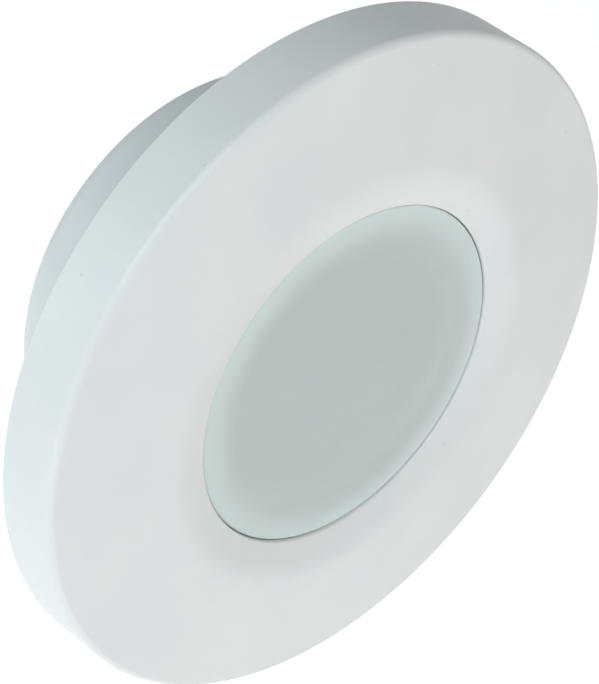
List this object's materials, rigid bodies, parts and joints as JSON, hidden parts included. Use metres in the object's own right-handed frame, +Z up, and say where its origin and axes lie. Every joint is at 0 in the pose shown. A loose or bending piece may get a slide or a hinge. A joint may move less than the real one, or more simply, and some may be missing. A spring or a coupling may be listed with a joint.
{
  "type": "underwater pool light",
  "caption": "Flush underwater light for a pool wall: a halogen capsule in a sealed cup behind a frosted glass lens, with a push-fit white face disc and a cable gland behind.",
  "frame": {"origin": "on the lamp's axis, in the plane of the wall's face, where the foam gasket meets the wall", "axes": "+Z up, +Y into the wall along the lamp's axis, so the light shines towards -Y, +X to the right seen from the pool"},
  "size_m": [0.165, 0.0742, 0.165],
  "materials": {
    "abs_white": "moulded white ABS with a fine satin grain",
    "glass_frosted": "toughened glass, polished in front and frosted behind, faintly green",
    "silicone_white": "moulded translucent white silicone",
    "stainless_steel": "stamped and brushed stainless steel",
    "brass": "turned brass",
    "foam_dark": "closed-cell foam",
    "reflector_aluminium": "spun and anodised aluminium",
    "quartz_glass": "clear fused quartz",
    "steatite": "pressed unglazed steatite",
    "silicone_lead": "silicone and fibreglass sleeve",
    "nylon_white": "moulded white nylon",
    "rubber_black": "moulded black rubber"
  },
  "bodies": {
    "lamp_unit": {"front_body": "abs_white", "rear_cup": "abs_white", "lens_glass": "glass_frosted", "lens_gasket": "silicone_white", "lens_clamp_ring": "stainless_steel", "socket_bracket": "stainless_steel", "terminal_fixing_screw": "stainless_steel", "clamp_screw_1": "stainless_steel", "clamp_screw_2": "stainless_steel", "clamp_screw_3": "stainless_steel", "clamp_screw_4": "stainless_steel", "clamp_screw_5": "stainless_steel", "clamp_screw_6": "stainless_steel", "trim_clip_1": "stainless_steel", "trim_clip_2": "stainless_steel", "trim_clip_3": "stainless_steel", "trim_clip_4": "stainless_steel", "clip_screw_1": "stainless_steel", "clip_screw_2": "stainless_steel", "clip_screw_3": "stainless_steel", "clip_screw_4": "stainless_steel", "lamp_pin_1": "stainless_steel", "lamp_pin_2": "stainless_steel", "bracket_screw_1": "stainless_steel", "bracket_screw_2": "stainless_steel", "socket_screw_1": "stainless_steel", "socket_screw_2": "stainless_steel", "threaded_insert_1": "brass", "threaded_insert_2": "brass", "threaded_insert_3": "brass", "threaded_insert_4": "brass", "threaded_insert_5": "brass", "threaded_insert_6": "brass", "socket_contact_1": "brass", "socket_contact_2": "brass", "terminal_screw_1": "brass", "terminal_screw_2": "brass", "terminal_screw_3": "brass", "terminal_screw_4": "brass", "wall_gasket": "foam_dark", "reflector": "reflector_aluminium", "lamp_capsule": "quartz_glass", "lamp_socket": "steatite", "terminal_block": "steatite", "lamp_lead_1": "silicone_lead", "lamp_lead_2": "silicone_lead", "gland_body": "nylon_white", "gland_locknut": "nylon_white", "gland_washer": "rubber_black"},
    "face_disc": {"face_disc": "abs_white"},
    "gland_bush": {"gland_bush": "rubber_black"},
    "gland_nut": {"gland_nut": "nylon_white"}
  },
  "joints": [
    {"name": "disc_pull", "type": "slide", "parent": "lamp_unit", "child": "face_disc", "axis": [0, -1, 0], "range_m": [0, 0.04]},
    {"name": "gland_advance", "type": "slide", "parent": "lamp_unit", "child": "gland_bush", "axis": [0, 1, 0], "range_m": [0, 0.003]},
    {"name": "gland_turn", "type": "hinge", "parent": "gland_bush", "child": "gland_nut", "pos_m": [0, 0.0478, -0.032], "axis": [0, 1, 0], "range_deg": [0, 720]}
  ],
  "couplings": [
    {"joint": "gland_advance", "follows": "gland_turn", "m_per_rad": 0.00023873}
  ]
}
